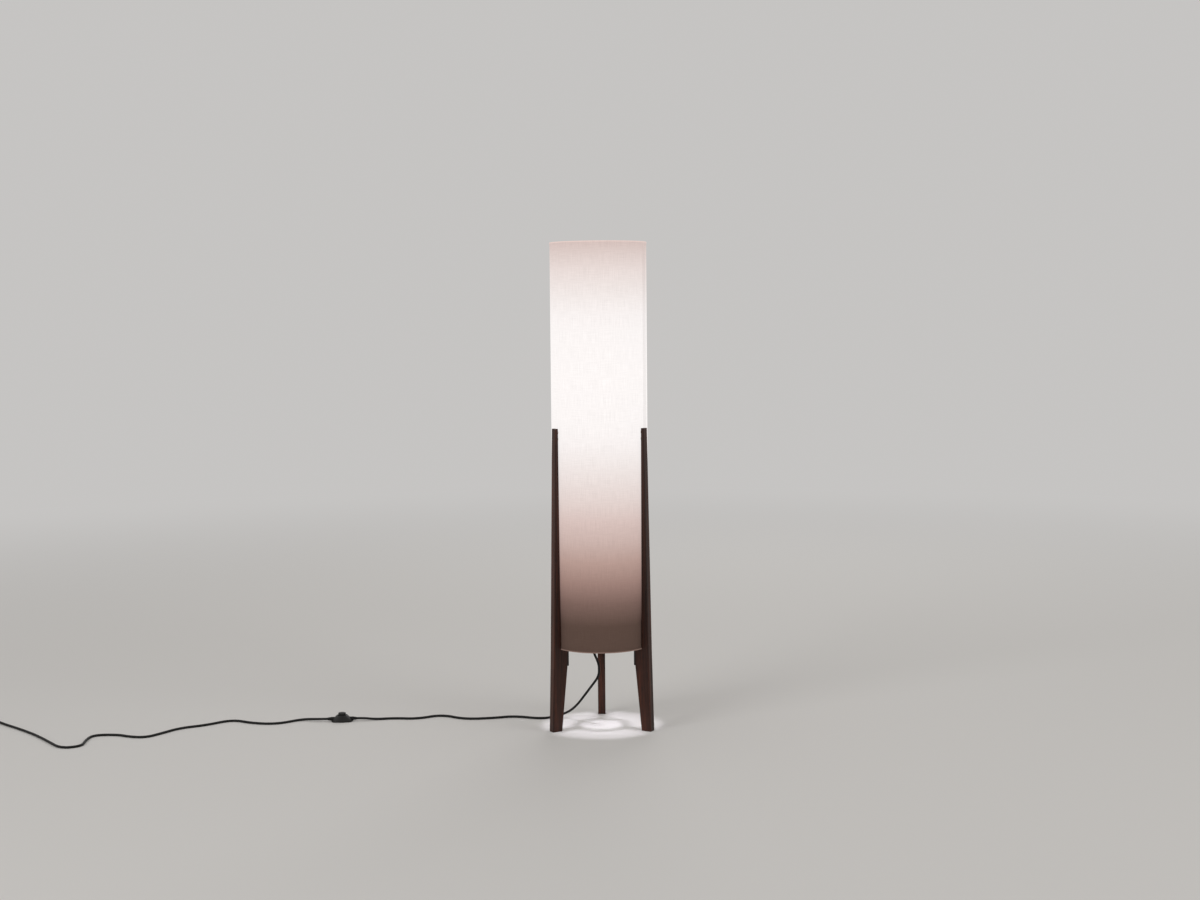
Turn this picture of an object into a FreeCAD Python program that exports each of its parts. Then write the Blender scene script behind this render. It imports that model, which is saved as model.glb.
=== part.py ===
"""Column floor lamp: a tall round fabric shade held between three tapered walnut legs.

Two bent steel frames tie the legs together: the lower one under the shade, the upper one at
the leg tops, where it also carries the lampholder. The lead hangs down inside the shade, comes
out under it and runs over the floor through a foot switch to a coil and a plug.
Millimetres, +Z up, floor at Z = 0, origin at the centre of the lamp's own box on the floor.
The camera side of the lamp is -Y; the rear leg stands on the +Y side.
"""
import FreeCAD, Part
import math
import os

from FreeCAD import Vector

os.makedirs("parts", exist_ok=True)

# Heights above the floor
lamp_height = 1200.0
shade_bottom = 203.0
leg_top = 747.0

# Legs: boards standing edge on to the shade
leg_thickness = 19.0
foot_width = 26.0
foot_inset = 1.5
ledge_depth = 18.3
ledge_width = 19.2
leg_top_gap = 2.8
leg_top_width = 7.4
leg_edge_round = 1.5
leg_angles = {"left": 210.0, "right": -30.0, "rear": 90.0}

# Shade: fabric on a stiff liner, with a wire ring and a rolled hem at each end
skin_radius = 118.6
skin_thickness = 0.6
liner_thickness = 0.9
ring_wire_radius = 2.0
hem_thickness = 0.6
hem_height = 6.0
hem_roll_radius = 1.6
lap_width = 20.0
lap_angle = -20.0

# Clearances: seats and running fits, faces that touch, and how far a cut runs past a face
seat_gap = 0.3
touch_gap = 0.05
cut_over = 1.0

# Lower and upper steel frames, cut from plate and bent
lower_plate = 3.2
lower_ring_hole_radius = 40.0
lower_ring_radius = 54.0
lower_arm_width = 19.0
lower_tab_drop = 42.0
upper_plate = 2.5
upper_plate_rise = 10.0
upper_hub_radius = 26.0
upper_arm_width = 16.0
upper_tab_length = 46.0
bend_radius = 3.0
tab_corner_radius = 3.0

# Screws
lower_screw_radius = 2.0
lower_screw_length = 23.0
lower_screw_pitch = 17.0
lower_screw_margin = 12.0
lower_head_radius = 4.0
lower_head_height = 2.4
upper_screw_radius = 1.7
upper_screw_reach = 5.5
upper_screw_pitch = 16.0
upper_screw_margin = 8.0
upper_head_radius = 3.4
upper_head_height = 2.2
screw_clearance = 0.3
screw_head_bow = 0.3
spacer_radius = 5.0

# Lampholder and bulb
nipple_radius = 5.0
nipple_bore_radius = 3.5
nipple_length = 28.0
nut_across_flats = 14.0
nut_height = 3.0
gland_radius = 8.0
gland_tip_radius = 4.6
gland_length = 28.0
gland_collar_height = 12.0
gland_thread_depth = 9.0
holder_radius = 20.5
holder_wall = 2.0
holder_cap_height = 19.0
holder_dome_inset = 6.0
holder_dome_height = 9.0
holder_dome_bow = 1.75
holder_body_height = 43.0
holder_grip_height = 4.0
holder_lip = 2.0
insert_seat = 1.0
insert_height = 10.0
thread_radius = 13.1
thread_gap = 0.3
socket_shell_thickness = 0.6
contact_radius = 3.0
contact_height = 2.0
bulb_height = 107.0
bulb_radius = 30.0
bulb_tip_radius = 4.0
bulb_tip_height = 1.0
insulator_radius = 4.5
insulator_height = 3.0
bulb_cap_height = 24.0
bulb_cap_foot_radius = 9.5
bulb_cap_foot_height = 2.5
bulb_cap_metal = 0.4
bulb_neck_radius = 12.6
bulb_neck_sunk = 15.0
bulb_neck_height = 4.0
bulb_neck_bow = 2.1
bulb_neck_angle = 37.0
glass_thickness = 1.0

# Lead
cord_radius = 3.0
coil_turns_per_layer = 2.5
coil_inner_radius = 25.75
coil_pitch = 6.6
coil_x = -1605.0
coil_y = 43.0
coil_lead_in = 43.0
coil_tail = 18.0
tie_thickness = 0.8
tie_width = 8.0
tie_gap = 0.3
tie_corner = 2.0

# Foot switch
switch_x = -659.0
switch_y = 50.0
switch_angle = 4.0
switch_length = 54.0
switch_width = 34.0
switch_height = 16.0
switch_base_height = 3.0
switch_end_slope = 13.0
switch_side_slope = 2.4
switch_edge_round = 2.0
switch_wall = 2.2
switch_collar_wall = 1.8
switch_collar_rise = 1.2
switch_post_wall = 1.4
switch_post_inset = 0.5
switch_lead_height = 7.0
relief_length = 20.0
relief_out = 9.0
relief_radius = 4.8
relief_tip_wall = 0.9
relief_neck = 1.0
button_radius = 9.5
button_rise = 7.0
button_gap = 0.3
button_edge = 1.8
button_edge_inset = 1.5
button_edge_bow = 0.4
button_crown = 0.6
button_flange = 2.0
button_flange_height = 1.5
button_stem_radius = 3.0
spring_wire_radius = 0.4
spring_radius = 5.6
spring_turns = 4
button_stem_length = 3.6
block_height = 2.0
block_length = 18.0
block_width = 13.0
terminal_length = 5.0
terminal_width = 5.0
terminal_height = 5.6
switch_screw_radius = 1.5
switch_screw_head_radius = 2.8
switch_screw_head_height = 1.6
switch_screw_sunk = 0.3
switch_screw_length = 9.0
switch_screw_spare = 0.5
switch_screw_x = 12.0
switch_screw_y = 9.5

# Plug
plug_width = 25.0
plug_length = 30.0
plug_face_round = 3.0
plug_side_round = 2.5
plug_relief_length = 34.0
plug_relief_radius = 5.6
plug_relief_collar = 6.0
plug_relief_sunk = 4.0
relief_ribs = 5
relief_groove = 0.9
relief_groove_share = 0.38
blade_pitch = 12.7
blade_width = 6.35
blade_thickness = 1.5
blade_length = 17.5
blade_corner = 1.2

# Worked out from the sizes above
liner_radius = skin_radius - skin_thickness
liner_bore_radius = liner_radius - liner_thickness
hem_radius = skin_radius + hem_thickness
ledge_outer_radius = hem_radius + seat_gap
ledge_inner_radius = ledge_outer_radius - ledge_depth
leg_flare_radius = ledge_outer_radius + ledge_width
leg_top_inner_radius = skin_radius + leg_top_gap
leg_top_outer_radius = leg_top_inner_radius + leg_top_width
foot_inner_radius = ledge_outer_radius - foot_inset
foot_outer_radius = foot_inner_radius + foot_width
tab_bottom = shade_bottom - lower_tab_drop
ring_radius = liner_bore_radius - ring_wire_radius - touch_gap
hem_inner_radius = ring_radius - ring_wire_radius - touch_gap - hem_thickness
lamp_axis = Vector(0.0, -(foot_outer_radius - hem_radius) / 2, 0.0)
upper_plate_z = leg_top + upper_plate_rise
upper_plate_top = upper_plate_z + upper_plate
upper_tab_radius = math.sqrt(liner_bore_radius ** 2 - (upper_arm_width / 2) ** 2) - touch_gap
upper_tab_bottom = upper_plate_top - upper_tab_length
upper_screw_heights = [upper_tab_bottom + upper_screw_margin + step for step in (0, upper_screw_pitch)]
lower_screw_heights = [tab_bottom + lower_screw_margin + step for step in (0, lower_screw_pitch)]
gland_top = upper_plate_z - nut_height
gland_bottom = gland_top - gland_length
holder_body_bottom = upper_plate_top + holder_cap_height
holder_top = holder_body_bottom + holder_body_height
insert_top = holder_body_bottom + insert_height
bulb_bottom = insert_top + contact_height
bulb_top = bulb_bottom + bulb_height
coil_low = cord_radius + tie_thickness + touch_gap
coil_high = coil_low + coil_pitch
coil_outer_radius = coil_inner_radius + coil_pitch * coil_turns_per_layer
switch_centre = Vector(switch_x, switch_y, 0.0)
coil_centre = Vector(coil_x, coil_y, 0.0)


def place_xz(point):
    return Vector(point[0], 0.0, point[1])


def place_xy(point):
    return Vector(point[0], point[1], 0.0)


def face(start, steps, place):
    """A flat face: each step is the next corner, or a pair (middle, end) for an arc."""
    edges = []
    here = place(start)
    for step in list(steps) + [start]:
        if isinstance(step[0], tuple):
            middle, end = place(step[0]), place(step[1])
            edges.append(Part.Arc(here, middle, end).toShape())
        else:
            end = place(step)
            if end.distanceToPoint(here) > 1e-6:
                edges.append(Part.LineSegment(here, end).toShape())
        here = end
    return Part.Face(Part.Wire(edges))


def bowed(start, end, bow):
    """Middle of an arc between two flat points that bows out by an amount to the right."""
    across, up = end[0] - start[0], end[1] - start[1]
    share = bow / math.hypot(across, up)
    return ((start[0] + end[0]) / 2 + up * share, (start[1] + end[1]) / 2 - across * share)


def turned(start, *steps):
    """A solid of revolution about Z from its (radius, height) outline."""
    return face(start, steps, place_xz).revolve(Vector(0, 0, 0), Vector(0, 0, 1), 360)


def tube(outer, inner, low, high):
    return turned((inner, low), (outer, low), (outer, high), (inner, high))


def board(thickness, start, *steps):
    """A board of even thickness about Y = 0 from its (X, Z) outline."""
    flat = face(start, steps, place_xz)
    flat.translate(Vector(0, -thickness / 2, 0))
    return flat.extrude(Vector(0, thickness, 0))


def rounded(solid, radius, wanted):
    """Round those edges of a solid for which wanted(edge) is true."""
    return solid.makeFillet(radius, [edge for edge in solid.Edges if wanted(edge)])


def spun(shape, angle):
    copy = shape.copy()
    copy.rotate(Vector(0, 0, 0), Vector(0, 0, 1), angle)
    return copy


def at_legs(shape):
    """One copy of a radial shape, modelled along +X, at each leg."""
    return [spun(shape, angle) for angle in leg_angles.values()]


def radial_rod(radius, start, end, height):
    return Part.makeCylinder(radius, end - start, Vector(start, 0, height), Vector(1, 0, 0))


def save(name, *shapes, at=lamp_axis):
    """Write one node, moved from the lamp's axis, or another place, to the shared frame."""
    solids = [solid for shape in shapes for solid in shape.Solids]
    shape = solids[0] if len(solids) == 1 else Part.makeCompound(solids)
    shape.translate(at)
    shape.exportStep("parts/" + name + ".step")


# --- Legs -------------------------------------------------------------------------------

def leg_inner_radius(height):
    """Radius of a leg's inner edge beside the shade, at a height."""
    share = (height - shade_bottom) / (leg_top - shade_bottom)
    return ledge_outer_radius + share * (leg_top_inner_radius - ledge_outer_radius)


def is_long_outline_edge(edge):
    """The long edges of a leg board, apart from those at the ledge and at the bracket."""
    box = edge.BoundBox
    return box.YLength < 1e-6 and box.ZLength > 0.99 * tab_bottom


def make_leg():
    leg = board(
        leg_thickness,
        (foot_inner_radius, 0),
        (foot_outer_radius, 0),
        (leg_flare_radius, shade_bottom),
        (leg_top_outer_radius, leg_top),
        (leg_top_inner_radius, leg_top),
        (ledge_outer_radius, shade_bottom),
        (ledge_inner_radius, shade_bottom),
        (ledge_inner_radius, tab_bottom),
    )
    leg = rounded(leg, leg_edge_round, is_long_outline_edge)
    for height in lower_screw_heights:
        end = ledge_inner_radius - lower_plate + lower_screw_length + touch_gap
        start = ledge_inner_radius - cut_over
        leg = leg.cut(radial_rod(lower_screw_radius + touch_gap, start, end, height))
    for height in upper_screw_heights:
        start = leg_inner_radius(height)
        end = start + upper_screw_reach + touch_gap
        leg = leg.cut(radial_rod(upper_screw_radius + touch_gap, start - cut_over, end, height))
    return leg


for name, angle in leg_angles.items():
    save("leg_" + name, spun(make_leg(), angle))


# --- Steel frames -----------------------------------------------------------------------

def bent_arm(start, end, top, tab_end, thickness, width):
    """A flat bar that runs out from the axis and turns down into a tab."""
    outer_bend = bend_radius + thickness
    slant = 1 - math.sqrt(0.5)
    bar = board(
        width,
        (start, top),
        (end - outer_bend, top),
        ((end - outer_bend * slant, top - outer_bend * slant), (end, top - outer_bend)),
        (end, tab_end),
        (end - thickness, tab_end),
        (end - thickness, top - outer_bend),
        (
            (end - thickness - bend_radius * slant, top - thickness - bend_radius * slant),
            (end - outer_bend, top - thickness),
        ),
        (start, top - thickness),
    )
    is_tab_corner = lambda edge: edge.BoundBox.ZMax < tab_end + 1e-6 and edge.BoundBox.YLength < 1e-6
    return rounded(bar, tab_corner_radius, is_tab_corner)


def make_lower_frame():
    top = shade_bottom + lower_plate
    frame = tube(lower_ring_radius, lower_ring_hole_radius, shade_bottom, top)
    start = (lower_ring_radius + lower_ring_hole_radius) / 2
    arm = bent_arm(start, ledge_inner_radius, top, tab_bottom, lower_plate, lower_arm_width)
    for height in lower_screw_heights:
        hole_radius = lower_screw_radius + screw_clearance
        hole_start = ledge_inner_radius - lower_plate - cut_over
        arm = arm.cut(radial_rod(hole_radius, hole_start, ledge_inner_radius + cut_over, height))
    return frame.multiFuse(at_legs(arm)).removeSplitter()


def make_upper_frame():
    frame = Part.makeCylinder(upper_hub_radius, upper_plate, Vector(0, 0, upper_plate_z))
    start = upper_hub_radius / 2
    arm = bent_arm(start, upper_tab_radius, upper_plate_top, upper_tab_bottom, upper_plate, upper_arm_width)
    for height in upper_screw_heights:
        hole_radius = upper_screw_radius + screw_clearance
        hole_start = upper_tab_radius - upper_plate - cut_over
        arm = arm.cut(radial_rod(hole_radius, hole_start, upper_tab_radius + cut_over, height))
    frame = frame.multiFuse(at_legs(arm)).removeSplitter()
    hole_low = Vector(0, 0, upper_plate_z - cut_over)
    return frame.cut(Part.makeCylinder(nipple_radius + touch_gap, upper_plate + 2 * cut_over, hole_low))


save("lower_frame", make_lower_frame())
save("upper_frame", make_upper_frame())


def wood_screw(head_at, tip_at, radius, head_radius, head_height, height):
    """A pan head screw that points outwards, with its head on the inner side."""
    point = 1.5 * radius
    flat_end = (0.6 * head_radius, head_at - head_height)
    rim = (head_radius, head_at)
    screw = turned(
        (0, head_at - head_height),
        flat_end,
        (bowed(flat_end, rim, screw_head_bow), rim),
        (radius, head_at),
        (radius, tip_at - point),
        (0, tip_at),
    )
    screw.rotate(Vector(0, 0, 0), Vector(0, 1, 0), 90)
    screw.translate(Vector(0, 0, height))
    return screw


def make_lower_screws():
    head_at = ledge_inner_radius - lower_plate
    tip_at = head_at + lower_screw_length
    screws = []
    for height in lower_screw_heights:
        screws += at_legs(
            wood_screw(head_at, tip_at, lower_screw_radius, lower_head_radius, lower_head_height, height)
        )
    return screws


def make_upper_screws():
    head_at = upper_tab_radius - upper_plate
    screws = []
    for height in upper_screw_heights:
        tip_at = leg_inner_radius(height) + upper_screw_reach
        screws += at_legs(
            wood_screw(head_at, tip_at, upper_screw_radius, upper_head_radius, upper_head_height, height)
        )
    return screws


def make_spacers():
    """Round spacers between the shade and the legs, hollowed to the shade's curve."""
    shade = Part.makeCylinder(skin_radius, lamp_height)
    spacers = []
    for height in upper_screw_heights:
        end = min(leg_inner_radius(height - spacer_radius), leg_inner_radius(height + spacer_radius))
        spacer = radial_rod(spacer_radius, liner_radius, end, height).cut(shade)
        bore_radius = upper_screw_radius + screw_clearance
        bore = radial_rod(bore_radius, liner_radius - cut_over, end + cut_over, height)
        spacers += at_legs(spacer.cut(bore))
    return spacers


save("lower_screws", *make_lower_screws())
save("upper_screws", *make_upper_screws())
save("leg_spacers", *make_spacers())


# --- Shade ------------------------------------------------------------------------------

def pierced(wall):
    """Cut the holes that the upper screws need through a wall of the shade."""
    for height in upper_screw_heights:
        hole_radius = upper_screw_radius + screw_clearance
        rod = radial_rod(hole_radius, liner_bore_radius - cut_over, skin_radius + cut_over, height)
        for hole in at_legs(rod):
            wall = wall.cut(hole)
    return wall


def make_hem(edge, inward):
    """A rolled hem round the wire ring; inward is +1 at the bottom and -1 at the top."""
    outer = edge + inward * hem_height
    floor = edge + inward * hem_thickness
    roll = hem_roll_radius
    corner = roll * (1 - math.sqrt(0.5))
    return turned(
        (hem_inner_radius + roll, edge),
        (hem_radius - hem_thickness, edge),
        (hem_radius, floor),
        (hem_radius, outer),
        (skin_radius, outer),
        (skin_radius, floor),
        (hem_inner_radius + roll, floor),
        ((hem_inner_radius + hem_thickness + corner, floor + inward * corner),
         (hem_inner_radius + hem_thickness, floor + inward * roll)),
        (hem_inner_radius + hem_thickness, outer),
        (hem_inner_radius, outer),
        (hem_inner_radius, edge + inward * roll),
    )


def make_lap():
    """The end of the cloth, lapped over its start: a strip that stands one cloth proud."""
    low, high = shade_bottom + hem_height, lamp_height - hem_height
    corners = [(hem_radius, low), (hem_radius, high), (skin_radius, high)]
    section = face((skin_radius, low), corners, place_xz)
    turn = math.degrees(lap_width / skin_radius)
    return spun(section.revolve(Vector(0, 0, 0), Vector(0, 0, 1), turn), lap_angle - turn / 2)


wall_low = shade_bottom + hem_thickness
wall_high = lamp_height - hem_thickness
ring_inset = hem_thickness + ring_wire_radius + touch_gap
save("shade_skin", pierced(tube(skin_radius, liner_radius, wall_low, wall_high)).fuse(make_lap()))
save("shade_liner", pierced(tube(liner_radius, liner_bore_radius, wall_low, wall_high)))
for name, edge, inward in (("bottom", shade_bottom, 1), ("top", lamp_height, -1)):
    save("shade_hem_" + name, make_hem(edge, inward))
    ring_z = edge + inward * ring_inset
    save("shade_ring_" + name, Part.makeTorus(ring_radius, ring_wire_radius, Vector(0, 0, ring_z)))


# --- Lampholder -------------------------------------------------------------------------

def make_nut():
    reach = nut_across_flats / math.sqrt(3)
    turns = [math.radians(60 * k) for k in range(6)]
    corners = [(reach * math.cos(turn), reach * math.sin(turn)) for turn in turns]
    nut = face(corners[0], corners[1:], place_xy).extrude(Vector(0, 0, nut_height))
    nut = nut.cut(Part.makeCylinder(nipple_radius + touch_gap, nut_height))
    nut.translate(Vector(0, 0, upper_plate_z - nut_height))
    return nut


def make_gland():
    """Cord grip: screwed on the nipple above, gripping the lead at its tapered end."""
    thread_end = gland_top - gland_thread_depth
    return turned(
        (nipple_radius + touch_gap, gland_top),
        (gland_radius, gland_top),
        (gland_radius, gland_top - gland_collar_height),
        (gland_tip_radius, gland_bottom),
        (cord_radius + touch_gap, gland_bottom),
        (cord_radius + touch_gap, thread_end),
        (nipple_radius + touch_gap, thread_end),
    )


def make_holder_cap():
    low, high = upper_plate_top, holder_body_bottom
    bore_radius = holder_radius - holder_wall
    waist = holder_radius - holder_dome_inset
    outer_foot, outer_shoulder = (waist, low), (holder_radius, low + holder_dome_height)
    inner_foot, inner_shoulder = (waist, low + holder_wall), (bore_radius, low + holder_dome_height)
    inner_bow = -holder_dome_bow * (holder_dome_height - holder_wall) / holder_dome_height
    return turned(
        (nipple_radius + touch_gap, low),
        outer_foot,
        (bowed(outer_foot, outer_shoulder, holder_dome_bow), outer_shoulder),
        (holder_radius, high),
        (bore_radius, high),
        inner_shoulder,
        (bowed(inner_shoulder, inner_foot, inner_bow), inner_foot),
        (nipple_radius + touch_gap, low + holder_wall),
    )


def make_holder_body():
    low = holder_body_bottom
    bore = shell_bore + socket_shell_thickness + touch_gap
    grip_top = low + holder_grip_height
    return turned(
        (insert_bore, low),
        (holder_radius, low),
        (holder_radius, grip_top),
        (holder_radius - holder_lip, grip_top + holder_lip),
        (holder_radius - holder_lip, holder_top - holder_lip),
        (holder_radius - 2 * holder_lip, holder_top),
        (bore, holder_top),
        (bore, insert_top),
        (insert_bore, insert_top),
    )


shell_bore = thread_radius + thread_gap
insert_bore = holder_radius - holder_wall - insert_seat
nipple_low = gland_top - gland_thread_depth
nipple_top = nipple_low + nipple_length
save("holder_nipple", tube(nipple_radius, nipple_bore_radius, nipple_low, nipple_top))
save("nipple_nut", make_nut())
save("cord_gland", make_gland())
save("holder_lead", Part.makeCylinder(cord_radius, nipple_top - gland_bottom, Vector(0, 0, gland_bottom)))
save("holder_cap", make_holder_cap())
save("holder_body", make_holder_body())
insert_place = Vector(0, 0, holder_body_bottom)
shell_top = insert_top + bulb_cap_height
save("socket_insert", Part.makeCylinder(insert_bore - touch_gap, insert_height, insert_place))
save("socket_shell", tube(shell_bore + socket_shell_thickness, shell_bore, insert_top, shell_top))
save("socket_contact", Part.makeCylinder(contact_radius, contact_height, Vector(0, 0, insert_top)))


# --- Bulb -------------------------------------------------------------------------------

cap_low = bulb_bottom + bulb_tip_height + insulator_height
cap_high = bulb_bottom + bulb_cap_height


def make_bulb_cap():
    bore_radius = thread_radius - bulb_cap_metal
    foot_top = cap_low + bulb_cap_foot_height
    return turned(
        (bulb_cap_foot_radius, cap_low),
        (thread_radius, foot_top),
        (thread_radius, cap_high),
        (bore_radius, cap_high),
        (bore_radius, foot_top + bulb_cap_metal),
        (bulb_cap_foot_radius - bulb_cap_metal, cap_low + bulb_cap_metal),
    )


def make_insulator():
    low = bulb_bottom + bulb_tip_height
    return turned(
        (0, low),
        (insulator_radius, low),
        (bulb_cap_foot_radius, cap_low),
        (bulb_cap_foot_radius - bulb_cap_metal, cap_low + bulb_cap_metal),
        (0, cap_low + bulb_cap_metal),
    )


def envelope(inset):
    """Outline of the bulb from the neck up to the top, moved in by an amount."""
    centre = bulb_top - bulb_radius
    ball = bulb_radius - inset
    turn = math.radians(bulb_neck_angle)
    neck = (bulb_neck_radius - inset, cap_high + bulb_neck_height)
    join = (ball * math.cos(turn), centre - ball * math.sin(turn))
    side = (ball, centre)
    top = (0, centre + ball)
    return [
        neck,
        (bowed(neck, join, -bulb_neck_bow), join),
        (bowed(join, side, ball * (1 - math.cos(turn / 2))), side),
        (bowed(side, top, ball * (1 - math.sqrt(0.5))), top),
    ]


def make_glass():
    low = cap_high - bulb_neck_sunk
    hollow_low = low - cut_over
    outside = turned((0, low), (bulb_neck_radius, low), *envelope(0.0))
    hollow = turned(
        (0, hollow_low), (bulb_neck_radius - glass_thickness, hollow_low), *envelope(glass_thickness)
    )
    return outside.cut(hollow)


save("bulb_cap", make_bulb_cap())
save("bulb_insulator", make_insulator())
save("bulb_contact", Part.makeCylinder(bulb_tip_radius, bulb_tip_height, Vector(0, 0, bulb_bottom)))
save("bulb_glass", make_glass())


# --- Foot switch ------------------------------------------------------------------------

def oval(length, width, height):
    """Outline of the switch at a height: two long flat arcs and two round ends."""
    shoulder_x = 0.37 * length
    shoulder_y = 0.427 * width
    corners = [(-shoulder_x, -shoulder_y), (shoulder_x, -shoulder_y), (shoulder_x, shoulder_y),
               (-shoulder_x, shoulder_y)]
    middles = [(0, -width / 2), (length / 2, 0), (0, width / 2), (-length / 2, 0)]
    edges = []
    for k in range(4):
        points = [Vector(x, y, height) for x, y in (corners[k], middles[k], corners[(k + 1) % 4])]
        edges.append(Part.Arc(*points).toShape())
    return Part.Wire(edges)


def oval_block(inset, low, high):
    """A drafted oval block inside the switch's outer form, inset all round."""
    def size_at(height):
        share = (height - switch_base_height) / (switch_height - switch_base_height)
        length = switch_length - 2 * switch_end_slope * share - 2 * inset
        width = switch_width - 2 * switch_side_slope * share - 2 * inset
        return length, width
    return Part.makeLoft([oval(*size_at(low), low), oval(*size_at(high), high)], True, True)


def both_ends(shape):
    """A shape at the right end of the switch and its copy at the left end."""
    return [shape, spun(shape, 180)]


def lead_rod(radius, start, end):
    return Part.makeCylinder(radius, end - start, Vector(start, 0, switch_lead_height), Vector(1, 0, 0))


def screw_rods(radius, low, high):
    return both_ends(Part.makeCylinder(radius, high - low, Vector(switch_screw_x, switch_screw_y, low)))


def save_switch(name, *shapes):
    save(name, *[spun(shape, switch_angle) for shape in shapes], at=switch_centre)


switch_end = switch_length / 2 + relief_out
relief_start = switch_end - relief_length
underside = switch_height - switch_wall
flange_low = underside - button_gap - button_flange_height
block_top = switch_base_height + block_height
terminal_start = block_length / 2 + button_gap
terminal_end = terminal_start + terminal_length


def make_switch_cover():
    cover = oval_block(0.0, switch_base_height, switch_height)
    top_edges = [edge for edge in cover.Edges if edge.BoundBox.ZMin > switch_height - 1e-6]
    cover = cover.makeFillet(switch_edge_round, top_edges)
    cover = cover.cut(oval_block(switch_wall, switch_base_height, underside))
    for post in screw_rods(switch_screw_radius + switch_post_wall, switch_base_height, underside):
        cover = cover.fuse(post.common(oval_block(switch_post_inset, switch_base_height, underside)))
    hole_top = switch_screw_length + switch_screw_spare
    for hole in screw_rods(switch_screw_radius + touch_gap, switch_base_height, hole_top):
        cover = cover.cut(hole)
    button_hole = button_radius + button_gap
    collar_top = switch_height + switch_collar_rise
    cover = cover.fuse(tube(button_hole + switch_collar_wall, button_hole, underside, collar_top))
    cover = cover.cut(Part.makeCylinder(button_hole, switch_height, Vector(0, 0, switch_base_height)))
    for gate in both_ends(lead_rod(relief_radius + touch_gap, relief_start, switch_end)):
        cover = cover.cut(gate)
    return cover


def make_switch_base():
    base = Part.Face(oval(switch_length, switch_width, 0)).extrude(Vector(0, 0, switch_base_height))
    holes = screw_rods(switch_screw_radius + touch_gap, 0, switch_base_height)
    holes += screw_rods(switch_screw_head_radius + touch_gap, 0, switch_screw_head_height + touch_gap)
    holes += both_ends(lead_rod(relief_radius + touch_gap, relief_start, switch_end))
    for hole in holes:
        base = base.cut(hole)
    return base


def make_switch_screws():
    shank_low = switch_screw_head_height
    screw = turned(
        (0, switch_screw_sunk),
        (switch_screw_head_radius, switch_screw_sunk),
        (switch_screw_head_radius, shank_low),
        (switch_screw_radius, shank_low),
        (switch_screw_radius, switch_screw_length - switch_screw_radius),
        (0, switch_screw_length),
    )
    screw.translate(Vector(switch_screw_x, switch_screw_y, 0))
    return both_ends(screw)


def make_relief():
    """Rubber sleeve where the lead enters; its outer part tapers towards the lead."""
    sleeve = turned(
        (cord_radius + touch_gap, relief_start),
        (relief_radius, relief_start),
        (relief_radius, switch_length / 2 + relief_neck),
        (cord_radius + relief_tip_wall, switch_end),
        (cord_radius + touch_gap, switch_end),
    )
    sleeve.rotate(Vector(0, 0, 0), Vector(0, 1, 0), 90)
    sleeve.translate(Vector(0, 0, switch_lead_height))
    return sleeve


def make_button():
    top = switch_height + button_rise
    crown_radius = button_radius - button_edge_inset
    ball = (crown_radius ** 2 + button_crown ** 2) / (2 * button_crown)
    crown_middle = (crown_radius / 2, top - ball + math.sqrt(ball ** 2 - crown_radius ** 2 / 4))
    side, crown_rim = (button_radius, top - button_edge), (crown_radius, top - button_crown)
    return turned(
        (0, flange_low - button_stem_length),
        (button_stem_radius, flange_low - button_stem_length),
        (button_stem_radius, flange_low),
        (button_radius + button_flange, flange_low),
        (button_radius + button_flange, flange_low + button_flange_height),
        (button_radius, flange_low + button_flange_height),
        side,
        (bowed(side, crown_rim, button_edge_bow), crown_rim),
        (crown_middle, (0, top)),
    )


def make_block():
    corner = Vector(-block_length / 2, -block_width / 2, switch_base_height)
    return Part.makeBox(block_length, block_width, block_height, corner)


def make_terminals():
    corner = Vector(terminal_start, -terminal_width / 2, switch_base_height)
    return both_ends(Part.makeBox(terminal_length, terminal_width, terminal_height, corner))


save_switch("switch_cover", make_switch_cover())
save_switch("switch_base", make_switch_base())
save_switch("switch_button", make_button())
save_switch("switch_block", make_block())
save_switch("switch_terminals", *make_terminals())
save_switch("switch_screws", *make_switch_screws())
save_switch("switch_reliefs", *both_ends(make_relief()))
save_switch("switch_leads", *both_ends(lead_rod(cord_radius, terminal_end, switch_end)))


# --- Lead -------------------------------------------------------------------------------

def rounded_path(points, label):
    """Straight runs joined by arcs; each arc takes 0.45 of its shorter run."""
    edges = []
    radii = []
    here = points[0]
    for before, corner, after in zip(points, points[1:], points[2:]):
        back, ahead = before - corner, after - corner
        reach = 0.45 * min(back.Length, ahead.Length)
        half_turn = (math.pi - back.getAngle(ahead)) / 2
        radii.append(reach / math.tan(half_turn))
        start = corner + back.normalize() * reach
        end = corner + ahead.normalize() * reach
        centre_way = (back + ahead).normalize()
        middle = corner + centre_way * (math.hypot(radii[-1], reach) - radii[-1])
        edges.append(Part.LineSegment(here, start).toShape())
        edges.append(Part.Arc(start, middle, end).toShape())
        here = end
    edges.append(Part.LineSegment(here, points[-1]).toShape())
    print(label, "radii", [round(radius) for radius in radii])
    return Part.Wire(edges)


def swept(path, radius, label):
    """A round solid along a path, with its volume checked against section times length."""
    first = path.Edges[0]
    start = first.valueAt(first.FirstParameter)
    way = first.tangentAt(first.FirstParameter)
    ring = Part.Wire(Part.Circle(start, way, radius).toShape())
    solid = path.makePipeShell([ring], True, False)
    expected = math.pi * radius ** 2 * path.Length
    print(label, "length", round(path.Length), "volume share", round(abs(solid.Volume) / expected, 4))
    return solid


switch_way = Vector(math.cos(math.radians(switch_angle)), math.sin(math.radians(switch_angle)), 0)
lead_level = Vector(0, 0, switch_lead_height)
switch_right = switch_centre + switch_way * switch_end + lead_level
switch_left = switch_centre - switch_way * switch_end + lead_level
gland_exit = lamp_axis + Vector(0, 0, gland_bottom)
coil_start = coil_centre + Vector(2 * cord_radius, coil_outer_radius, coil_low)

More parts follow.
